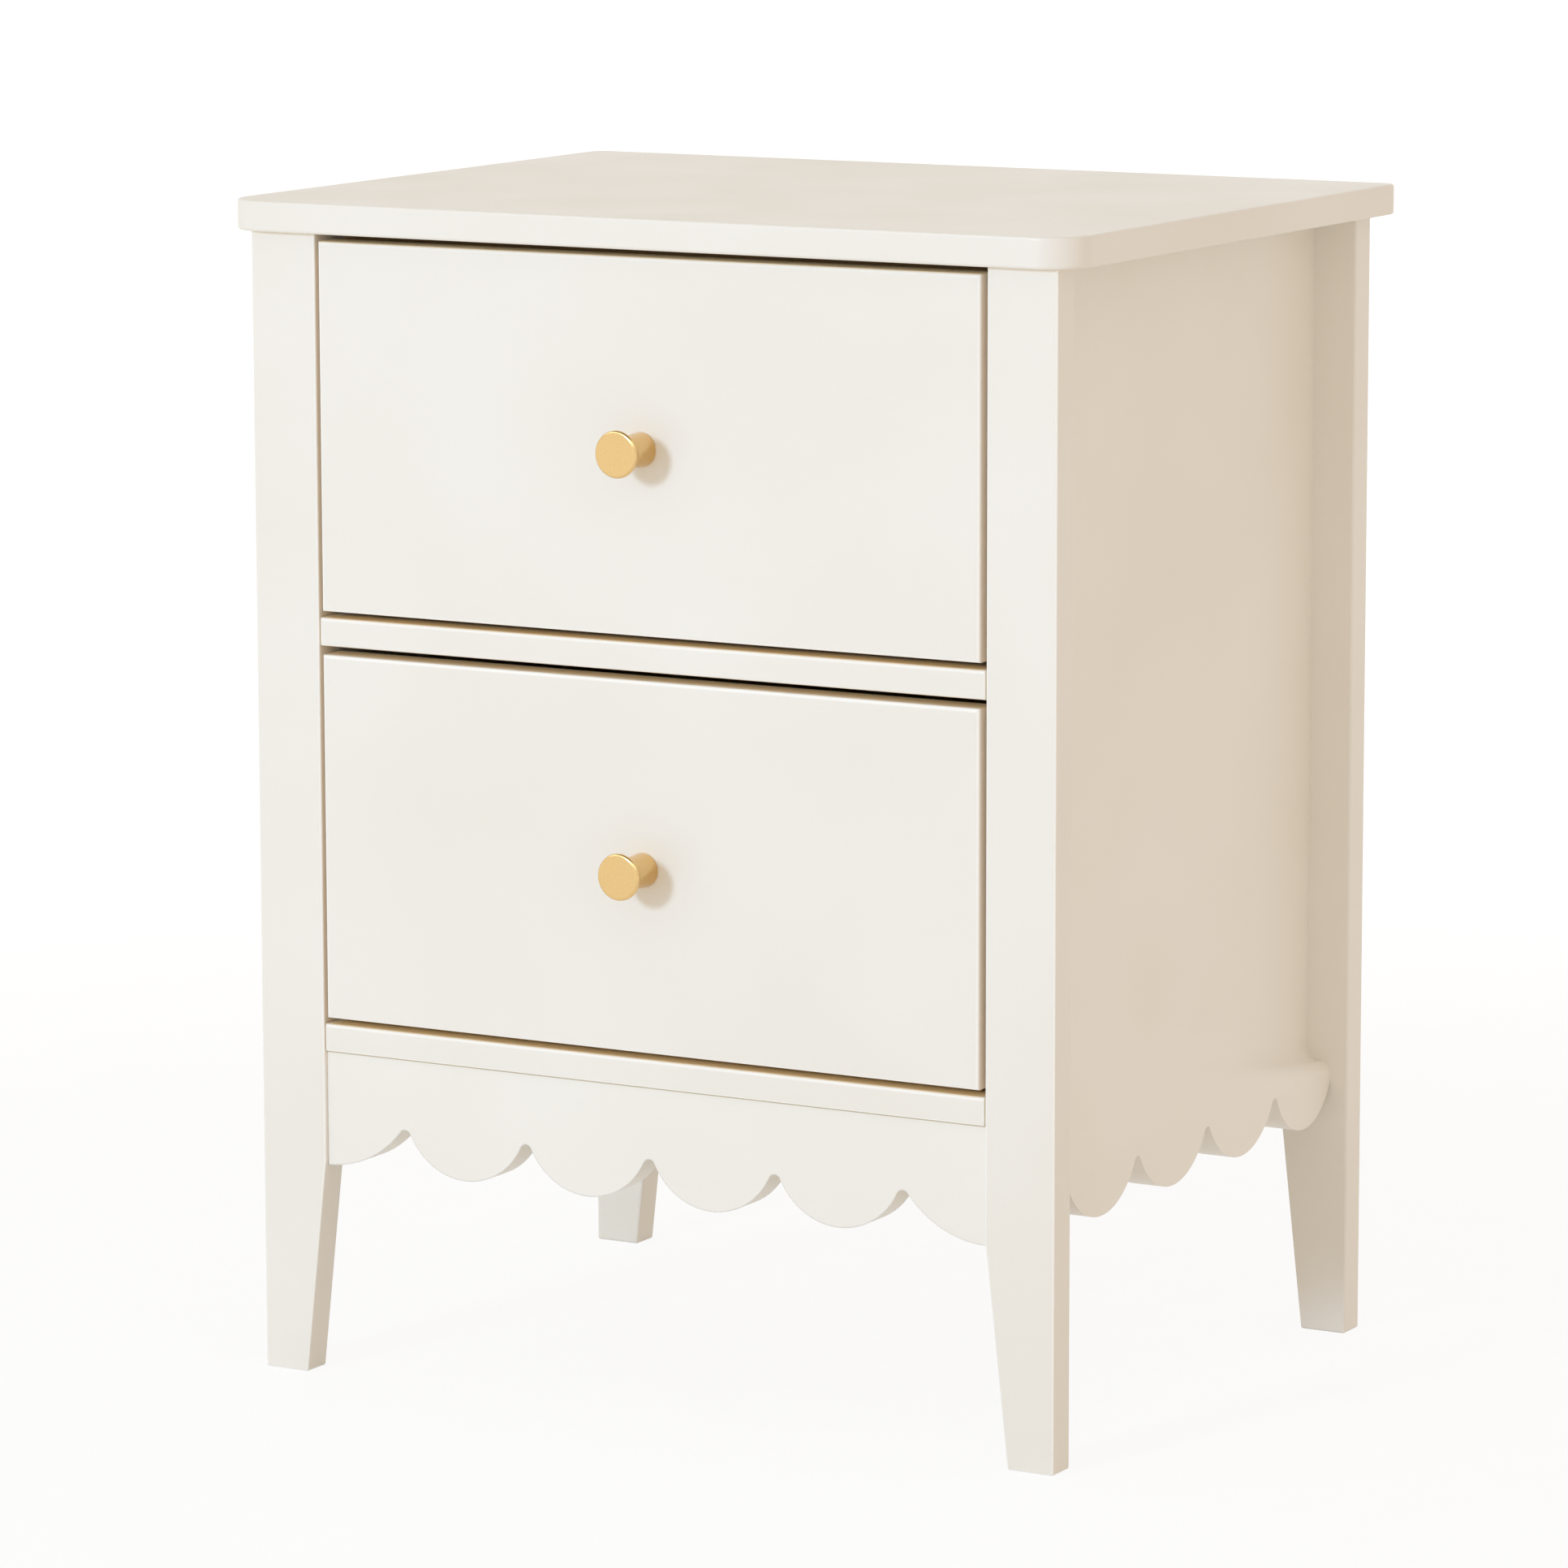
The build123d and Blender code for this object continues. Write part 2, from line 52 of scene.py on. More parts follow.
colourA, colourB = 6, 7  # sockets of the two colours of a Mix node, whose factor is socket 0
waveLength = 0.314  # metres from crest to crest of a wave texture at scale 1
print("frame loaded with", len(nodes), "pieces")


def hexColour(code):
    channels = [int(code[i:i + 2], 16) / 255 for i in (1, 3, 5)]
    linear = [c / 12.92 if c <= 0.04045 else ((c + 0.055) / 1.055) ** 2.4 for c in channels]
    return (*linear, 1.0)


def patternScale(sizeMm):
    return 1000 / sizeMm  # how many fit in a metre


def plugIn(tree, node, put):
    for socket, value in put.items():
        if socket in ("From", "To"):  # both ends of a range at once
            plugIn(tree, node, {socket + " Min": value[0], socket + " Max": value[1]})
            continue
        if isinstance(value, bpy.types.Node):  # a node stands for its first output in use
            value = next(output for output in value.outputs if output.enabled)
        if isinstance(value, bpy.types.NodeSocket):
            tree.links.new(value, node.inputs[socket])
        else:
            node.inputs[socket].default_value = value


def addNode(tree, kind, put=None, **settings):
    node = tree.nodes.new("ShaderNode" + kind)
    for name, value in settings.items():
        setattr(node, name, value)
    plugIn(tree, node, put or {})
    return node


def startMaterial(name):
    material = bpy.data.materials.new(name)
    material.use_nodes = True
    tree = material.node_tree
    coords = addNode(tree, "TexCoord")
    return material, tree, tree.nodes["Principled BSDF"], coords


# Sprayed satin lacquer on fibreboard: an even ivory coat with a soft sheen, faint clouds where it lies thicker,
# a fine orange peel, arrises painted paler as a highlight, warmer lines in the seams, and painted shade deep in the
# drawer gaps.
# Here and in the finishes below, a pair of ends says where in its noise a tint begins and where it is full.
lacquerCoat = {
    "cloudMm": 170,
    "cloudDetail": 2.0,
    "cloudEnds": (0.35, 0.65),
    "peelMm": 3,  # real orange peel is nearer 1 mm, drawn coarser so that it shows
    "peelDetail": 1.0,
    "peelDepthMm": 0.012,
    "arrisMm": 1.3,
    "arrisTurn": (0.99, 0.85),  # cosine of the normal's turn where the painted highlight begins and is full
    "gapMm": 7,
    "gapOpen": (0.7, 0.3),  # share of open air where the painted gap shade begins and is full
    "gapFloorMm": (150, 175),  # below the drawers no gap shade is painted
    "seam": "#D8CEB8",
    "seamHalfMm": {"X": 0.9, "Z": 0.55},
    "sheenMm": 60,
    "sheenDetail": 3.0,
    "sheenEnds": (0.3, 0.7),
    "roughness": (0.33, 0.41),
    "ior": 1.5,
    "samples": 6,  # rays that feel for arrises and gaps
}
# the arris colour is a painted highlight along the rounded edges, mixed in up to the share after it; the fronts get a
# stronger one
plainTints = {"ivory": "#F0ECE4", "cloud": "#EDE8DE", "arris": "#FAF8F3", "paintedHighlight": 0.6}
# the gap colours are painted shade laid in the drawer gaps: warmer on upright faces, warmer and darker on level ones
frontTints = {**plainTints, "arris": "#FFFEFA", "paintedHighlight": 1.0, "uprightGapShade": "#FFF1DE", "levelGapShade": "#FFE4AE"}
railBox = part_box("bottom_rail")
lacquerTints = {
    "sprayedSatinLacquer": plainTints,
    "sprayedFrontLacquer": frontTints,
    # the coat is thin in the seams between the rails' ends and the legs, and between the apron and the rail on it
    "sprayedRailLacquer": {**frontTints, "seams": {"X": railBox[1][0], "Z": railBox[0][2]}},
    # the apron's ivory is a shade paler than the rest: painted light that makes up for the dimmer light low on the
    # front
    "sprayedApronLacquer": {**plainTints, "ivory": "#F2EFE7", "cloud": "#F0ECE3", "seams": {"Z": railBox[0][2]}},
    # the boards of each side are filled, sanded and sprayed as one, so no arris shows at their joint
    # their ivory is a shade paler than the rest: painted light, so the sides read brighter than the legs and the top's
    # edge
    "sprayedSideLacquer": {"ivory": "#F3EFE7", "cloud": "#F0EBE1"},
}


def sprayedLacquer(name, spec=lacquerCoat):
    tints = lacquerTints[name]
    material, tree, shader, coords = startMaterial(name)
    place = coords.outputs["Object"]
    spot = addNode(tree, "SeparateXYZ", {0: place}).outputs
    cloud = addNode(tree, "TexNoise", {"Vector": place, "Scale": patternScale(spec["cloudMm"]),
                                       "Detail": spec["cloudDetail"]})
    cloudy = addNode(tree, "MapRange", {"Value": cloud, "From": spec["cloudEnds"]})
    coat = addNode(tree, "Mix", {0: cloudy, colourA: hexColour(tints["ivory"]), colourB: hexColour(tints["cloud"])},
                   data_type="RGBA")
    peel = addNode(tree, "TexNoise", {"Vector": place, "Scale": patternScale(spec["peelMm"]),
                                      "Detail": spec["peelDetail"]})
    bump = addNode(tree, "Bump", {"Height": peel, "Distance": spec["peelDepthMm"] * mm})
    if "arris" in tints:
        # painted highlight: the coat turns paler along the arrises, where the bevelled normal turns
        rounded = addNode(tree, "Bevel", {"Radius": spec["arrisMm"] * mm}, samples=spec["samples"])
        if "levelGapShade" in tints:
            # square boards: only on a rounded arris does the normal leave all three axes
            size = addNode(tree, "VectorMath", {0: rounded}, operation="ABSOLUTE")
            parts = addNode(tree, "SeparateXYZ", {0: size}).outputs
            most = addNode(tree, "Math", {0: parts["X"], 1: parts["Y"]}, operation="MAXIMUM")
            along = addNode(tree, "Math", {0: most, 1: parts["Z"]}, operation="MAXIMUM")
        else:
            # the bevelled normal leaves the true one only along an arris
            surface = addNode(tree, "NewGeometry")
            along = addNode(tree, "VectorMath", {0: rounded, 1: surface.outputs["Normal"]}, operation="DOT_PRODUCT")
        arris = addNode(tree, "MapRange", {"Value": along, "From": spec["arrisTurn"], "To": (0.0, tints["paintedHighlight"])})
        coat = addNode(tree, "Mix", {0: arris, colourA: coat, colourB: hexColour(tints["arris"])}, data_type="RGBA")
        plugIn(tree, bump, {"Normal": rounded})
    if "levelGapShade" in tints:
        # painted shade: where occlusion finds a narrow gap above the drawers' floor, the coat turns warmer and darker
        nook = addNode(tree, "AmbientOcclusion", {"Distance": spec["gapMm"] * mm}, samples=spec["samples"])
        deep = addNode(tree, "MapRange", {"Value": nook.outputs["AO"], "From": spec["gapOpen"]})
        gapFloor = [height * mm for height in spec["gapFloorMm"]]
        above = addNode(tree, "MapRange", {"Value": spot["Z"], "From": gapFloor, "To": (0.0, deep)})
        gapShade = addNode(tree, "Mix", {0: parts["Z"], colourA: hexColour(tints["uprightGapShade"]),
                                      colourB: hexColour(tints["levelGapShade"])}, data_type="RGBA")
        coat = addNode(tree, "Mix", {0: above, colourA: coat, colourB: gapShade}, data_type="RGBA")
    for axis, joint in tints.get("seams", {}).items():
        off = addNode(tree, "Math", {0: spot[axis]}, operation="ABSOLUTE")
        line = addNode(tree, "Math", {0: off, 1: joint, 2: spec["seamHalfMm"][axis] * mm}, operation="COMPARE")
        coat = addNode(tree, "Mix", {0: line, colourA: coat, colourB: hexColour(spec["seam"])}, data_type="RGBA")
    sheen = addNode(tree, "TexNoise", {"Vector": place, "Scale": patternScale(spec["sheenMm"]),
                                       "Detail": spec["sheenDetail"]})
    rough = addNode(tree, "MapRange", {"Value": sheen, "From": spec["sheenEnds"], "To": spec["roughness"]})
    plugIn(tree, shader, {"Base Color": coat, "Roughness": rough, "Normal": bump, "IOR": spec["ior"]})
    return material


# Turned brass under clear lacquer: warm gold with a blurred shine, faint rings left by the lathe and slight mottling.
knobBrass = {
    "gold": "#DEB97C",
    "bright": "#E7C68D",
    "ringMm": 0.8,  # real tool marks are near 0.1 mm, drawn coarser so that they show
    "ringWander": 0.6,
    "ringDetail": 1.0,
    "ringDepthMm": 0.004,
    "mottleMm": 1.2,
    "roughness": 0.17,
}


def turnedBrass(spec=knobBrass):
    material, tree, shader, coords = startMaterial("turnedBrass")
    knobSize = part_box("upper_knob")[1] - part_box("upper_knob")[0]
    # the rings run round the knob's own axis
    centred = addNode(tree, "VectorMath", {0: coords.outputs["Generated"], 1: (-0.5, 0, -0.5)})
    place = addNode(tree, "VectorMath", {0: centred, 1: tuple(knobSize)}, operation="MULTIPLY")
    rings = addNode(tree, "TexWave", {"Vector": place, "Scale": waveLength / (spec["ringMm"] * mm),
                                      "Distortion": spec["ringWander"], "Detail": spec["ringDetail"]},
                    wave_type="RINGS", rings_direction="Y")
    mottle = addNode(tree, "TexNoise", {"Vector": place, "Scale": patternScale(spec["mottleMm"])})
    tone = addNode(tree, "Mix", {0: mottle, colourA: hexColour(spec["gold"]), colourB: hexColour(spec["bright"])},
                   data_type="RGBA")
    bump = addNode(tree, "Bump", {"Height": rings.outputs["Fac"], "Distance": spec["ringDepthMm"] * mm})
    plugIn(tree, shader, {"Base Color": tone, "Normal": bump, "Metallic": 1.0, "Roughness": spec["roughness"]})
    return material


# Hardboard painted with a roller: matt, a shade duller than the lacquer, with the roller's stipple.
panelPaint = {
    "paint": "#E9E3D8",
    "thin": "#E5DED1",
    "thinMm": 90,
    "thinDetail": 4.0,
    "thinEnds": (0.4, 0.7),
    "stippleMm": 2.5,
    "stippleDetail": 2.0,
    "stippleDepthMm": 0.06,
    "roughness": 0.62,
}


def rolledPaint(spec=panelPaint):
    material, tree, shader, coords = startMaterial("rolledMattPaint")
    place = coords.outputs["Object"]
    thin = addNode(tree, "TexNoise", {"Vector": place, "Scale": patternScale(spec["thinMm"]),
                                      "Detail": spec["thinDetail"]})
    patchy = addNode(tree, "MapRange", {"Value": thin, "From": spec["thinEnds"]})
    tone = addNode(tree, "Mix", {0: patchy, colourA: hexColour(spec["paint"]), colourB: hexColour(spec["thin"])},
                   data_type="RGBA")
    stipple = addNode(tree, "TexNoise", {"Vector": place, "Scale": patternScale(spec["stippleMm"]),
                                         "Detail": spec["stippleDetail"]})
    bump = addNode(tree, "Bump", {"Height": stipple, "Distance": spec["stippleDepthMm"] * mm})
    plugIn(tree, shader, {"Base Color": tone, "Normal": bump, "Roughness": spec["roughness"]})
    return material


def grainStreaks(tree, place, along, widthMm, lengthMm, detail=3.0):
    # noise drawn out along one axis, as pores, growth rings and rolling lines are
    sizes = [lengthMm if axis == along else widthMm for axis in "XYZ"]
    drawn = addNode(tree, "Mapping", {"Vector": place, "Scale": [patternScale(size) for size in sizes]})
    return addNode(tree, "TexNoise", {"Vector": drawn, "Scale": 1.0, "Detail": detail})


# Planed wood: soft bands of early and late growth with fine darker pores along the grain.
woods = {
    "planedPoplar": {"early": "#CDAE80", "late": "#A98558", "pore": "#7D5C38", "bandMm": 9, "bandLengthMm": 260,
                     "poreMm": 0.9, "poreLengthMm": 22, "poreDepthMm": 0.03, "roughness": 0.58},
    "flutedBeech": {"early": "#C69C6A", "late": "#B38652", "pore": "#8A6038", "bandMm": 5, "bandLengthMm": 80,
                    "poreMm": 0.7, "poreLengthMm": 4, "poreDepthMm": 0.03, "roughness": 0.55},
}
woodFigure = {"bandEnds": (0.35, 0.65), "poreEnds": (0.6, 0.75), "poreShade": 0.6}


def planedWood(name, along, figure=woodFigure):
    spec = woods[name]
    material, tree, shader, coords = startMaterial(name + "Along" + along)
    place = coords.outputs["Object"]
    bands = grainStreaks(tree, place, along, spec["bandMm"], spec["bandLengthMm"])
    growth = addNode(tree, "MapRange", {"Value": bands, "From": figure["bandEnds"]})
    body = addNode(tree, "Mix", {0: growth, colourA: hexColour(spec["early"]), colourB: hexColour(spec["late"])},
                   data_type="RGBA")
    pores = grainStreaks(tree, place, along, spec["poreMm"], spec["poreLengthMm"])
    porous = addNode(tree, "MapRange", {"Value": pores, "From": figure["poreEnds"], "To": (0.0, figure["poreShade"])})
    tone = addNode(tree, "Mix", {0: porous, colourA: body, colourB: hexColour(spec["pore"])}, data_type="RGBA")
    bump = addNode(tree, "Bump", {"Height": pores, "Distance": spec["poreDepthMm"] * mm}, invert=True)
    plugIn(tree, shader, {"Base Color": tone, "Normal": bump, "Roughness": spec["roughness"]})
    return material


# Birch plywood, sanded and oiled: pale even faces with short fine grain, and striped edges where the plies show.
birchPly = {
    "face": "#E2CBA3",
    "grain": "#CFAF80",
    "grainMm": 1.6,
    "grainLengthMm": 70,
    "grainEnds": (0.35, 0.75),
    "grainDepthMm": 0.015,
    "lightPly": "#DDC194",
    "darkPly": "#A67F52",
    "plyMm": 1.4,
    "plyWander": 0.4,
    "plyDetail": 2.0,
    "plyEnds": (0.35, 0.65),
    "edgeTurn": 0.7,  # cosine of the turn from the face past which a surface is an edge
    "roughness": 0.42,
}


def birchPlywood(through, along, spec=birchPly):
    material, tree, shader, coords = startMaterial("sandedBirchPlyThrough" + through)
    place = coords.outputs["Object"]
    fibres = grainStreaks(tree, place, along, spec["grainMm"], spec["grainLengthMm"])
    fine = addNode(tree, "MapRange", {"Value": fibres, "From": spec["grainEnds"]})
    face = addNode(tree, "Mix", {0: fine, colourA: hexColour(spec["face"]), colourB: hexColour(spec["grain"])},
                   data_type="RGBA")
    plies = addNode(tree, "TexWave", {"Vector": place, "Scale": waveLength / (2 * spec["plyMm"] * mm),
                                      "Distortion": spec["plyWander"], "Detail": spec["plyDetail"]},
                    bands_direction=through)
    crisp = addNode(tree, "MapRange", {"Value": plies.outputs["Fac"], "From": spec["plyEnds"]})
    edge = addNode(tree, "Mix", {0: crisp, colourA: hexColour(spec["lightPly"]), colourB: hexColour(spec["darkPly"])},
                   data_type="RGBA")
    facing = addNode(tree, "SeparateXYZ", {0: coords.outputs["Normal"]})
    square = addNode(tree, "Math", {0: facing.outputs[through]}, operation="ABSOLUTE")
    onEdge = addNode(tree, "Math", {0: square, 1: spec["edgeTurn"]}, operation="LESS_THAN")
    tone = addNode(tree, "Mix", {0: onEdge, colourA: face, colourB: edge}, data_type="RGBA")
    bump = addNode(tree, "Bump", {"Height": fibres, "Distance": spec["grainDepthMm"] * mm})
    plugIn(tree, shader, {"Base Color": tone, "Normal": bump, "Roughness": spec["roughness"]})
    return material


# Zinc-plated strip steel: bright grey with a cool and a faintly straw bloom, and fine lines from rolling.
zincPlate = {
    "zinc": "#C9CBCC",
    "bloom": "#BDB9AA",
    "bloomMm": 14,
    "bloomDetail": 3.0,
    "rollMm": 0.8,
    "rollLengthMm": 60,
    "rollEnds": (0.3, 0.7),
    "rollDepthMm": 0.006,
    "roughness": (0.24, 0.4),
}


def zincPlatedSteel(spec=zincPlate):
    material, tree, shader, coords = startMaterial("zincPlatedSteel")
    place = coords.outputs["Object"]
    bloom = addNode(tree, "TexNoise", {"Vector": place, "Scale": patternScale(spec["bloomMm"]),
                                       "Detail": spec["bloomDetail"]})
    tone = addNode(tree, "Mix", {0: bloom, colourA: hexColour(spec["zinc"]), colourB: hexColour(spec["bloom"])},
                   data_type="RGBA")
    rolled = grainStreaks(tree, place, "Y", spec["rollMm"], spec["rollLengthMm"])
    rough = addNode(tree, "MapRange", {"Value": rolled, "From": spec["rollEnds"], "To": spec["roughness"]})
    bump = addNode(tree, "Bump", {"Height": rolled, "Distance": spec["rollDepthMm"] * mm})
    plugIn(tree, shader, {"Base Color": tone, "Roughness": rough, "Normal": bump, "Metallic": 1.0})
    return material


lacquer, frontLacquer, railLacquer, apronLacquer, sideLacquer = [sprayedLacquer(name) for name in lacquerTints]
brass, paint, steel = turnedBrass(), rolledPaint(), zincPlatedSteel()
railWood, cleatWood = planedWood("planedPoplar", "X"), planedWood("planedPoplar", "Y")
dowelWood = planedWood("flutedBeech", "X")
sidePly, endPly, trayPly = birchPlywood("X", "Y"), birchPlywood("Y", "X"), birchPlywood("Z", "X")

boardCoats = {
    "front_left_leg": frontLacquer,
    "front_right_leg": frontLacquer,
    "upper_drawer_front": frontLacquer,
    "lower_drawer_front": frontLacquer,
    "middle_rail": railLacquer,
    "bottom_rail": railLacquer,
    "front_apron": apronLacquer,
}


def finishFor(name, slot):
    if slot == "lacquered_board":
        return sideLacquer if "_side_" in name else boardCoats.get(name, lacquer)
    if slot == "carcass_wood":
        return cleatWood if "cleat" in name else railWood
    if slot == "birch_plywood":
        return trayPly if name.endswith("bottom") else sidePly if name.endswith("side") else endPly
    return {"painted_panel": paint, "beech": dowelWood, "brass": brass, "zinc_steel": steel}[slot]


for row in frame["record"]["subparts"]:
    board = nodes[row["node"]]
    finish = finishFor(row["node"], row["material_slot"])
    if not board.material_slots:
        board.data.materials.append(finish)
    for holder in board.material_slots:
        holder.material = finish
print("finishes given to", len(nodes), "pieces")


# Cross-head screws, which stand for the plain ones: a countersunk or domed head with a cross recess and a plain shank.
# A ring is a radius and its depth below the head's outer face.
countersunkHead = {
    "ringsMm": [(3.1, 0.0), (3.3, 0.18), (1.75, 1.6)],
    "shankMm": 1.75,
    "armMm": 1.8,
    "armHalfMm": 0.5,
    "recessMm": 1.5,
    "recessTaper": 0.55,
    "sinkMm": 0.12,
    "tipMm": 3.0,
    "tipRadiusMm": 0.45,
    "sides": 40,
    "sharpDegrees": 35,
}
domedHead = {
    **countersunkHead,
    "ringsMm": [(2.4, 0.0), (3.3, 0.35), (3.85, 1.0), (4.0, 1.7), (4.0, 2.6), (2.0, 2.6)],
    "shankMm": 2.0,
    "armMm": 1.9,
    "armHalfMm": 0.55,
    "recessMm": 1.7,
    "sinkMm": 0.0,
    "tipMm": 0.8,
    "tipRadiusMm": 1.5,
}
weldDistance = 1e-6
endBand = 0.3 * mm  # points this near an end of a screw belong to its end


def looseSolids(node):
    # the solids of a CAD node, each as a list of points
    shape = bmesh.new()
    shape.from_mesh(nodes[node].data)
    bmesh.ops.remove_doubles(shape, verts=shape.verts, dist=weldDistance)
    left, solids = set(shape.verts), []
    while left:
        found = [left.pop()]
        for point in found:
            for edge in point.link_edges:
                other = edge.other_vert(point)
                if other in left:
                    left.discard(other)
                    found.append(other)
        solids.append([point.co.copy() for point in found])
    shape.free()
    return sorted(solids, key=lambda points: tuple(round(c, 5) for c in sum(points, Vector()) / len(points)))


def screwPlace(points):
    # middle of the outer face of the head, the way the screw is driven, and its length
    low = Vector([min(p[i] for p in points) for i in range(3)])
    high = Vector([max(p[i] for p in points) for i in range(3)])
    axis = max(range(3), key=lambda i: high[i] - low[i])
    middle = (low + high) / 2
    reach = {}
    for end in (low[axis], high[axis]):
        ring = [p for p in points if abs(p[axis] - end) < endBand]
        reach[end] = max((Vector([p[i] - middle[i] for i in range(3) if i != axis])).length for p in ring)
    head = max(reach, key=reach.get)
    middle[axis] = head
    way = Vector((0, 0, 0))
    way[axis] = 1.0 if head == low[axis] else -1.0
    return middle, way, high[axis] - low[axis]


def screwMesh(spec, lengthMm):
    # head outwards at z = 0, shank along +z
    sides = spec["sides"]
    tip = lengthMm - spec["tipMm"]
    rings = spec["ringsMm"] + [(spec["shankMm"], tip), (spec["tipRadiusMm"], lengthMm)]
    points, faces = [], []
    for radius, z in rings:
        points += [(radius * math.cos(circle * i / sides), radius * math.sin(circle * i / sides), z)
                   for i in range(sides)]
    for r in range(len(rings) - 1):
        for i in range(sides):
            j = (i + 1) % sides
            faces.append((r * sides + i, r * sides + sides + i, r * sides + sides + j, r * sides + j))
    last = (len(rings) - 1) * sides
    faces.append(tuple(last + i for i in range(sides - 1, -1, -1)))
    arm, half = spec["armMm"], spec["armHalfMm"]
    quarter = [(arm, -half), (arm, half), (half, half)]
    cross = quarter + [(-y, x) for x, y in quarter] + [(-x, -y) for x, y in quarter] + [(y, -x) for x, y in quarter]
    count = len(cross)
    rim, floor = len(points), len(points) + count
    points += [(x, y, 0) for x, y in cross]
    points += [(x * spec["recessTaper"], y * spec["recessTaper"], spec["recessMm"]) for x, y in cross]
    for i in range(count):
        j = (i + 1) % count
        faces.append((rim + i, rim + j, floor + j, floor + i))
    faces.append(tuple(floor + i for i in range(count)))
    # flat of the head between its round edge and the cross, stitched by angle
    crossAt = sorted((math.atan2(y, x) % circle, rim + k) for k, (x, y) in enumerate(cross))
    crossAt.append((crossAt[0][0] + circle, crossAt[0][1]))
    roundAt = [(circle * i / sides, i % sides) for i in range(sides + 1)]
    i = j = 0
    while i < sides or j < count:
        if j == count or (i < sides and roundAt[i + 1][0] <= crossAt[j + 1][0]):
            faces.append((roundAt[i][1], roundAt[i + 1][1], crossAt[j][1]))
            i += 1
        else:
            faces.append((roundAt[i][1], crossAt[j + 1][1], crossAt[j][1]))
            j += 1
    return points, faces


def driveScrews(node, body, spec):
    points, faces = [], []
    for solid in looseSolids(node):
        head, way, length = screwPlace(solid)
        one, facets = screwMesh(spec, length / mm - spec["sinkMm"])
        lean = Vector((0, 0, 1)).rotation_difference(way).to_matrix()
        seat = head + way * spec["sinkMm"] * mm
        faces += [tuple(len(points) + k for k in facet) for facet in facets]
        points += [seat + lean @ (Vector(p) * mm) for p in one]
    mesh = bpy.data.meshes.new(node + "_crossHead")
    mesh.from_pydata(points, [], faces)
    shape = bmesh.new()
    shape.from_mesh(mesh)
    bmesh.ops.recalc_face_normals(shape, faces=shape.faces)
    shape.to_mesh(mesh)
    shape.free()
    mesh.shade_smooth()
    mesh.set_sharp_from_angle(angle=math.radians(spec["sharpDegrees"]))
    mesh.materials.append(steel)
    screws = bpy.data.objects.new(node + "_crossHead", mesh)
    scene.collection.objects.link(screws)
    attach(screws, body)
    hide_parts(node)


for body, members in frame["record"]["behaviour"]["bodies"].items():
    for node in members:
        if node.endswith("screws"):
            driveScrews(node, body, countersunkHead)
        elif node.endswith("knob_screw"):
            driveScrews(node, body, domedHead)
print("screws driven")


def outwards(azimuth, elevation):
    turn, tilt = math.radians(azimuth), math.radians(elevation)
    return Vector((math.sin(turn) * math.cos(tilt), -math.cos(turn) * math.cos(tilt), math.sin(tilt)))


# Camera, where the photograph was taken from
cameraView = {
    "azimuth": 29.508,
    "elevation": 9.37,
    "roll": -0.118,
    "distanceMm": 4009.5,
    "targetMm": (-118.19, 181.91, 271.46),
    "lensMm": 164.56,
    "sensorMm": 36.0,
    "farthest": 100,  # metres
}


def placeCamera(spec=cameraView):
    back = outwards(spec["azimuth"], spec["elevation"])
    roll = math.radians(spec["roll"])
    right = (-back).cross(Vector((0, 0, 1))).normalized()
    up = right.cross(-back)
    right, up = right * math.cos(roll) + up * math.sin(roll), up * math.cos(roll) - right * math.sin(roll)
    lens = bpy.data.cameras.new("photoCamera")
    lens.lens = spec["lensMm"]
    lens.sensor_width = spec["sensorMm"]
    lens.clip_end = spec["farthest"]
    camera = bpy.data.objects.new("photoCamera", lens)
    scene.collection.objects.link(camera)
    spot = Vector(spec["targetMm"]) * mm + back * spec["distanceMm"] * mm
    camera.matrix_world = Matrix.Translation(spot) @ Matrix((right, up, back)).transposed().to_4x4()
    scene.camera = camera


placeCamera()
print("camera placed")

# Soft studio light: warm light from all round, pinker on the right, a cooler softbox left of the front,
# and a weak warm fill. Distances and sizes are in metres.
lamps = {
    "frontSoftbox": {"azimuth": -12.5, "elevation": 15, "distance": 4.5, "size": 0.6, "watts": 77, "tint": "#C6E0FF"},
    "rightFill": {"azimuth": 95, "elevation": 12, "distance": 3.0, "size": 2.0, "watts": 2, "tint": "#FFD2B0"},
}
lampAim = Vector((0, 0, 0.32))
skyLight = {"left": "#FFF8E8", "right": "#FFF2E5", "across": (-0.5, 0.5), "strength": 0.76}
# What shines shows the room: white walls, a long softbox high over the front and a dim ceiling. The numbers in pairs
# are parts of a direction's length, where each begins and is full.
shownRoom = {"walls": 1.05, "softbox": 1.5, "softboxAhead": (-0.25, -0.4), "softboxLow": (0.38, 0.48),
             "softboxHigh": (0.78, 0.7), "ceiling": 0.2, "ceilingFrom": (0.74, 0.84)}


def hangLamps():
    for name, spec in lamps.items():
        back = outwards(spec["azimuth"], spec["elevation"])
        light = bpy.data.lights.new(name, "AREA")
        light.size = spec["size"]
        light.energy = spec["watts"]
        light.color = hexColour(spec["tint"])[:3]
        lamp = bpy.data.objects.new(name, light)
        lamp.location = lampAim + back * spec["distance"]
        lamp.rotation_mode = "QUATERNION"
        lamp.rotation_quaternion = (-back).to_track_quat("-Z", "Y")
        scene.collection.objects.link(lamp)


def seenRays(tree):
    # rays from the camera, straight or by way of metal or glass
    path = addNode(tree, "LightPath")
    seen = addNode(tree, "Math", {0: path.outputs["Is Camera Ray"], 1: path.outputs["Is Glossy Ray"]})
    return addNode(tree, "Math", {0: seen, 1: path.outputs["Is Transmission Ray"]}, use_clamp=True)


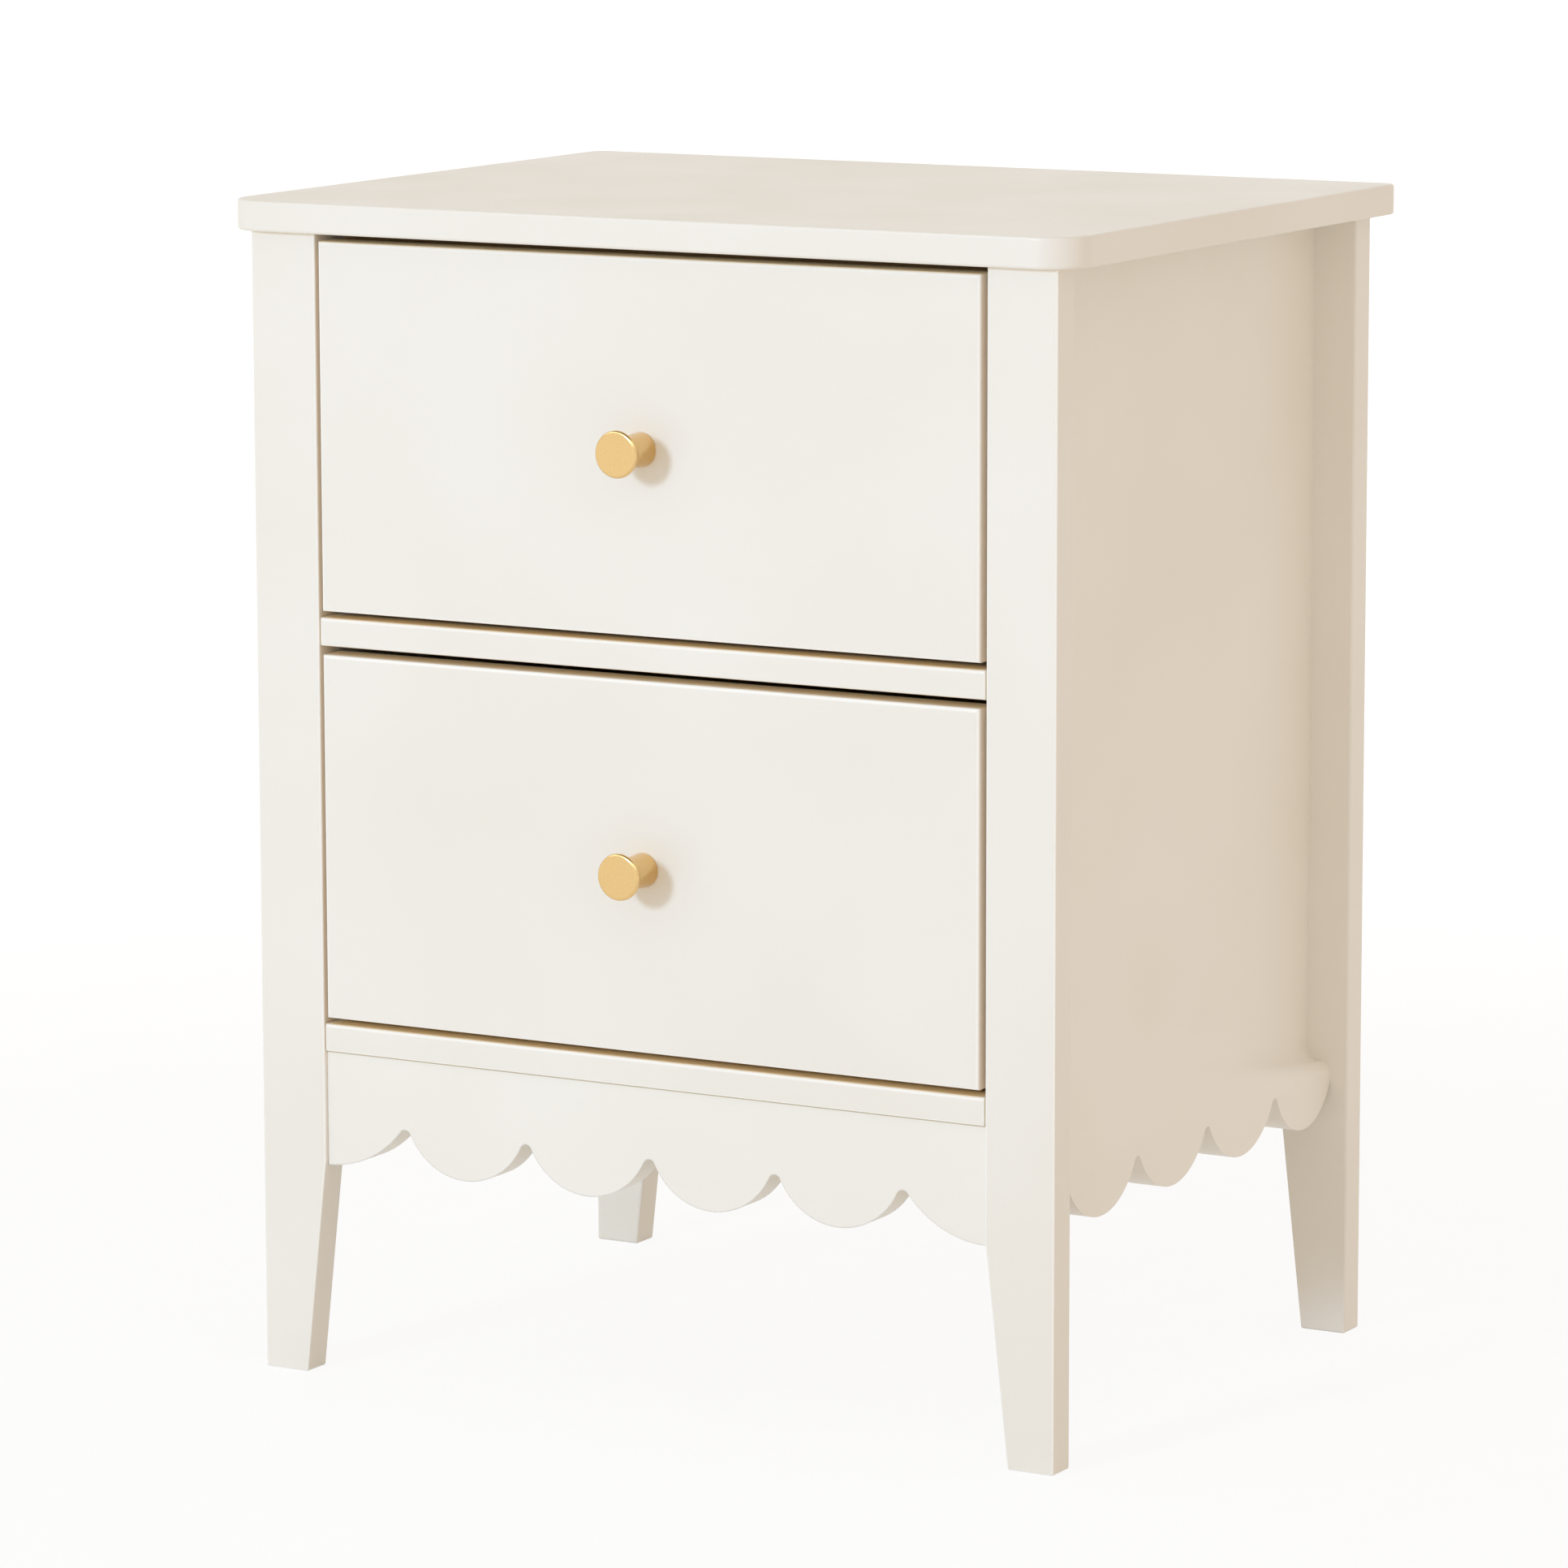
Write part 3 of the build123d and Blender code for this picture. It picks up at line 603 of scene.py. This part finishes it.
def lightSky(spec=skyLight, room=shownRoom):
    world = bpy.data.worlds.new("studioSky")
    world.use_nodes = True
    tree = world.node_tree
    tree.nodes.clear()
    way = addNode(tree, "SeparateXYZ", {0: addNode(tree, "TexCoord").outputs["Generated"]}).outputs
    across = addNode(tree, "MapRange", {"Value": way["X"], "From": spec["across"]})
    tint = addNode(tree, "Mix", {0: across, colourA: hexColour(spec["left"]), colourB: hexColour(spec["right"])},
                   data_type="RGBA")
    soft = addNode(tree, "Background", {"Color": tint, "Strength": spec["strength"]})
    ahead = addNode(tree, "MapRange", {"Value": way["Y"], "From": room["softboxAhead"], "To": (0.0, room["softbox"])})
    low = addNode(tree, "MapRange", {"Value": way["Z"], "From": room["softboxLow"], "To": (0.0, ahead)})
    softbox = addNode(tree, "MapRange", {"Value": way["Z"], "From": room["softboxHigh"], "To": (0.0, low)})
    lit = addNode(tree, "Math", {0: softbox, 1: room["walls"]})
    shown = addNode(tree, "MapRange", {"Value": way["Z"], "From": room["ceilingFrom"], "To": (lit, room["ceiling"])})
    path = addNode(tree, "LightPath")
    level = addNode(tree, "Mix", {0: path.outputs["Is Glossy Ray"], "A": 1.0, "B": shown})
    white = addNode(tree, "Background", {"Color": (1, 1, 1, 1), "Strength": level})
    sky = addNode(tree, "MixShader", {0: seenRays(tree), 1: soft, 2: white})
    addNode(tree, "OutputWorld", {"Surface": sky})
    scene.world = world


# The floor is warm white paper. What the camera sees of it is lifted to white, and it keeps a faint shadow.
# Radius and reach are in metres.
studioFloor = {"radius": 30.0, "spokes": 48, "paper": "#F4F0EA", "seen": "#606060", "lift": (0.885, 1.0),
               "liftReach": (0.5, 2.5), "grainMm": 40, "grainTone": (0.99, 1.0)}


def layFloor(spec=studioFloor):
    mesh = bpy.data.meshes.new("studioFloor")
    shape = bmesh.new()
    bmesh.ops.create_circle(shape, cap_ends=True, segments=spec["spokes"], radius=spec["radius"])
    shape.to_mesh(mesh)
    shape.free()
    floor = bpy.data.objects.new("studioFloor", mesh)
    scene.collection.objects.link(floor)
    material, tree, shader, coords = startMaterial("whitePaperFloor")
    tree.nodes.remove(shader)
    place = coords.outputs["Object"]
    reach = addNode(tree, "VectorMath", {0: place}, operation="LENGTH")
    lift = addNode(tree, "MapRange", {"Value": reach, "From": spec["liftReach"], "To": spec["lift"]},
                   interpolation_type="SMOOTHSTEP")
    grain = addNode(tree, "TexNoise", {"Vector": place, "Scale": patternScale(spec["grainMm"])})
    tone = addNode(tree, "MapRange", {"Value": grain, "To": spec["grainTone"]})
    glow = addNode(tree, "Math", {0: lift, 1: tone}, operation="MULTIPLY")
    seen = addNode(tree, "BsdfDiffuse", {"Color": hexColour(spec["seen"])})
    shown = addNode(tree, "AddShader", {0: seen, 1: addNode(tree, "Emission", {"Strength": glow})})
    paper = addNode(tree, "BsdfDiffuse", {"Color": hexColour(spec["paper"])})
    both = addNode(tree, "MixShader", {0: seenRays(tree), 1: paper, 2: shown})
    plugIn(tree, tree.nodes["Material Output"], {"Surface": both})
    mesh.materials.append(material)


hangLamps()
lightSky()
layFloor()
scene.view_settings.view_transform = "Standard"
print("studio lit with", len(lamps), "lamps")
